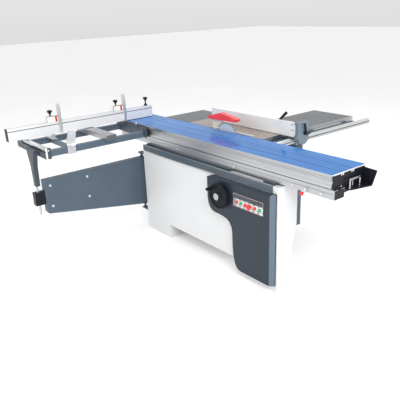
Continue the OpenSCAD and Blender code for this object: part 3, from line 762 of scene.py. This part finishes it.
def dress_fence():
    """The crosscut fence's end caps and scale strip, and dark strips in its groove and on its T-slot floor
    that are a rubber insert and painted shade in these recesses.
    """
    low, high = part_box("fence_profile")
    body = BODY_OF["fence_profile"]
    add_slab(
        "fence_end_cap", (low.x, low.y - 5 * MM, low.z), (high.x, low.y, high.z),
        body, "black_plastic", 1 * MM,
    )
    add_slab(
        "fence_far_cap", (low.x + 1 * MM, high.y, low.z + 1 * MM),
        (high.x - 1 * MM, high.y + 2 * MM, high.z - 1 * MM), body, "plate_z",
    )
    # dark strip in the groove: a rubber insert and painted shade of the groove
    add_slab(
        "fence_groove_insert_and_shade", (high.x - 5.5 * MM, low.y, low.z + 66.5 * MM),
        (high.x - 3.0 * MM, high.y, low.z + 71.5 * MM), body, "rubber", 0,
    )
    # dark strip on the T-slot floor: a rubber insert and painted shade of the slot
    add_slab(
        "fence_slot_insert_and_shade", (low.x + 10.4 * MM, low.y, high.z - 15 * MM),
        (low.x + 24.6 * MM, high.y, high.z - 13.5 * MM), body, "rubber", 0,
    )
    add_slab(
        "fence_scale", (high.x - 11 * MM, low.y + 20 * MM, high.z),
        (high.x - 2 * MM, high.y - 20 * MM, high.z + 0.3 * MM), body, "plate_x", 0,
    )


def dress_panel():
    """Legend strip, label tags, collars, lines, dials and screws of the switch panel."""
    low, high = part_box("panel_plate")
    body = BODY_OF["panel_plate"]
    face = high.y - 3 * MM
    front, line_front = face - 0.8 * MM, face - 0.5 * MM
    buttons = ("button_a", "button_b", "button_c", "button_stop", "button_d", "button_e")
    centres = [sum(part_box(node), Vector()) / 2 for node in buttons]
    add_slab(
        "panel_legend", (low.x + 5 * MM, front, high.z - 30 * MM), (high.x - 5 * MM, face, high.z - 5 * MM),
        body, "dark_paint", 0.2 * MM,
    )
    collars, tags, lines, dials = (bmesh.new() for _ in range(4))
    for centre in centres:
        ring(collars, 11.5 * MM, 17 * MM, 0, 8 * MM, (centre.x, face, centre.z), -Y)
        slab(tags, (centre.x - 11 * MM, front, low.z + 6 * MM), (centre.x + 11 * MM, face, low.z + 15 * MM))
    place_piece("panel_collars", collars, body, "white_plastic")
    place_piece("panel_tags", tags, body, "white_plastic")
    wide, half = 1.2 * MM, 0.6 * MM
    for height in (low.z + 2.5 * MM, high.z - 3.5 * MM):
        slab(lines, (low.x + 4 * MM, line_front, height), (high.x - 4 * MM, face, height + wide))
    for before, after in zip(centres, centres[1:]):
        middle = (before.x + after.x) / 2
        slab(lines, (middle - half, line_front, low.z + 4 * MM), (middle + half, face, low.z + 16 * MM))
    place_piece("panel_lines", lines, body, "pink_print")
    for x, z in DIALS:
        ring(dials, 4.5 * MM, 7.5 * MM, 0, 4.5 * MM, (x, face, z), -Y, 28)
    place_piece("panel_dials", dials, body, "black_gloss")
    places = [
        (x, face, z)
        for x in (low.x + 4 * MM, high.x - 4 * MM)
        for z in (low.z + 6 * MM, high.z - 6 * MM)
    ]
    add_bolts("panel_screws", places, -Y, 2.6 * MM, 1.4 * MM, body)


def dress_cabinet():
    """The bright lips along the lower and upper edges of the trim band; the lower one is a painted highlight
    of the band's rolled edge.
    """
    low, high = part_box("trim_band")
    body = BODY_OF["trim_band"]
    lips = (
        # painted highlight: a bright strip along the band's lower rolled edge
        ("trim_lip_highlight", (low.x, low.y - 1.2 * MM, low.z - 1 * MM), (high.x, low.y, low.z + 4 * MM)),
        ("trim_top_lip", (low.x, low.y - 1.0 * MM, high.z - 3 * MM), (high.x, low.y, high.z)),
    )
    for name, start, end in lips:
        add_slab(name, start, end, body, "aluminium_x")


def dress_housing():
    """A louvred service panel and its screws on the back of the housing."""
    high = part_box("rear_housing")[1]
    body = BODY_OF["rear_housing"]
    face = high.y + 2.5 * MM
    left, right = high.x - 340 * MM, high.x - 60 * MM
    bottom, top = 120 * MM, 520 * MM
    add_slab(
        "service_panel", (left, high.y, bottom), (right, face, top),
        body, "white_paint", 1 * MM,
    )
    rows, pitch, margin, inset = 8, 34 * MM, 40 * MM, 15 * MM
    wedge = [(0, 0), (7 * MM, 0), (0, 20 * MM)]
    louvres = bmesh.new()
    for row in range(rows):
        start = (left + margin, face, bottom + 70 * MM + row * pitch)
        prism(louvres, wedge, start, Y, Z, right - left - 2 * margin)
    place_piece("service_louvres", louvres, body, "white_paint")
    places = [(x, face, z) for x in (left + inset, right - inset) for z in (bottom + inset, top - inset)]
    add_bolts("service_screws", places, Y, 6 * MM, 3 * MM, body)


def dress_rip_fence():
    """Two dark screws at the near end of the rip fence."""
    low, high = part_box("rip_fence")
    body = BODY_OF["rip_fence"]
    places = [(high.x - 9 * MM, low.y, high.z - down * MM) for down in (16, 54)]
    add_bolts("fence_screws", places, -Y, 5 * MM, 2 * MM, body, "black_gloss")


def dress_arm():
    """Four cap screws through the swing arm's side."""
    low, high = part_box("swing_arm")
    places = [
        (high.x, low.y + along * MM, high.z - down * MM)
        for along in (48, 351)
        for down in (50, 212)
    ]
    add_bolts("arm_bolts", places, X, 11 * MM, 6 * MM, BODY_OF["swing_arm"])


def lock_handle():
    """The table lock: a silver lever on a boss, with a red ball at its low end."""
    node = "lock_lever"
    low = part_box(node)[0]
    body = BODY_OF[node]
    radius = 12 * MM
    centre = low + Vector((radius, radius, radius))
    lever = welded(node)
    ball_faces = [face for face in lever.faces if (face.calc_center_median() - centre).length < radius * 1.01]
    bmesh.ops.delete(lever, geom=ball_faces, context="FACES")
    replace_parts(place_piece("look_" + node, lever, body, "steel"), node)
    ball = bmesh.new()
    place = Matrix.Translation(centre)
    bmesh.ops.create_uvsphere(ball, u_segments=32, v_segments=20, radius=radius, matrix=place)
    place_piece("lock_ball", ball, body, "red_button")


def add_floor():
    """A wide pale floor, a hair under the feet."""
    half, drop = 30, 0.4 * MM
    shape = bmesh.new()
    signs = ((-1, -1), (1, -1), (1, 1), (-1, 1))
    shape.faces.new([shape.verts.new((x * half, y * half, -drop)) for x, y in signs])
    mesh = bpy.data.meshes.new("floor")
    shape.to_mesh(mesh)
    shape.free()
    floor = bpy.data.objects.new("floor", mesh)
    bpy.context.scene.collection.objects.link(floor)
    finish = Finish("pale_floor", specular=0.2)
    patches = finish.remap(finish.noise(0.7, 3), 0, 1)
    finish.colour(finish.mix(patches, (0.86, 0.865, 0.87), (0.90, 0.90, 0.90)))
    finish.roughness(finish.remap(finish.noise(3, 4), 0.55, 0.7))
    finish.shader.inputs["Emission Color"].default_value = (1, 1, 1, 1)
    finish.shader.inputs["Emission Strength"].default_value = 0.20
    floor.data.materials.append(finish.material)


add_camera()
add_world()
add_area_light("key", (4.2, -2.2, 3.6), (0.2, -0.2, 0.6), (2.4, 2.4), 165)
add_area_light("front", (-1.6, -4.6, 2.6), (-0.2, -0.3, 0.5), (3.0, 2.0), 38)
add_area_light("top", (-0.6, 1.4, 4.2), (0, 0, 0.8), (4.0, 3.0), 60)
bpy.context.scene.view_settings.view_transform = "Standard"
add_floor()

# widths of rounded edges in millimetres, where they differ from the usual one
USUAL_EDGE = 0.6
EDGE = {
    "front_cabinet": 2.0, "rear_housing": 1.5, "control_cover": 1.5, "handwheel": 1.0, "swing_arm": 2.5,
    "arm_block": 3.0, "guard_hood": 0.7, "table_film": 0.0, "main_table": 1.0, "head_casting": 2.0,
    "frame_tubes": 1.0, "saw_blade": 0.0, "scoring_blade": 0.0, "table_extrusion": 0.5,
}
KNOB_FEET = {"clamp_knob": 14 * MM, "knob_a": 5 * MM, "knob_b": 5 * MM}
PUSH_BUTTONS = ("button_a", "button_b", "button_c", "button_d", "button_e")
SPLIT_LOOKS = {"frame_fittings": fitting_look, "mount_blocks": block_look}
OWN_SHAPE = {*KNOB_FEET, *PUSH_BUTTONS, *SPLIT_LOOKS, "button_stop", "lock_lever"}

for knob, foot in KNOB_FEET.items():
    star_knob(knob, foot)
for button in PUSH_BUTTONS:
    push_button(button)
mushroom_button("button_stop")
lock_handle()
for node in frame["nodes"]:
    if node not in OWN_SHAPE:
        refine(node, EDGE.get(node, USUAL_EDGE) * MM)
for node, choose in SPLIT_LOOKS.items():
    refine_split(node, 0.8 * MM, choose)

dress_outrigger()
dress_table()
dress_stops()
dress_fence()
dress_panel()
dress_cabinet()
dress_housing()
dress_rip_fence()
dress_arm()
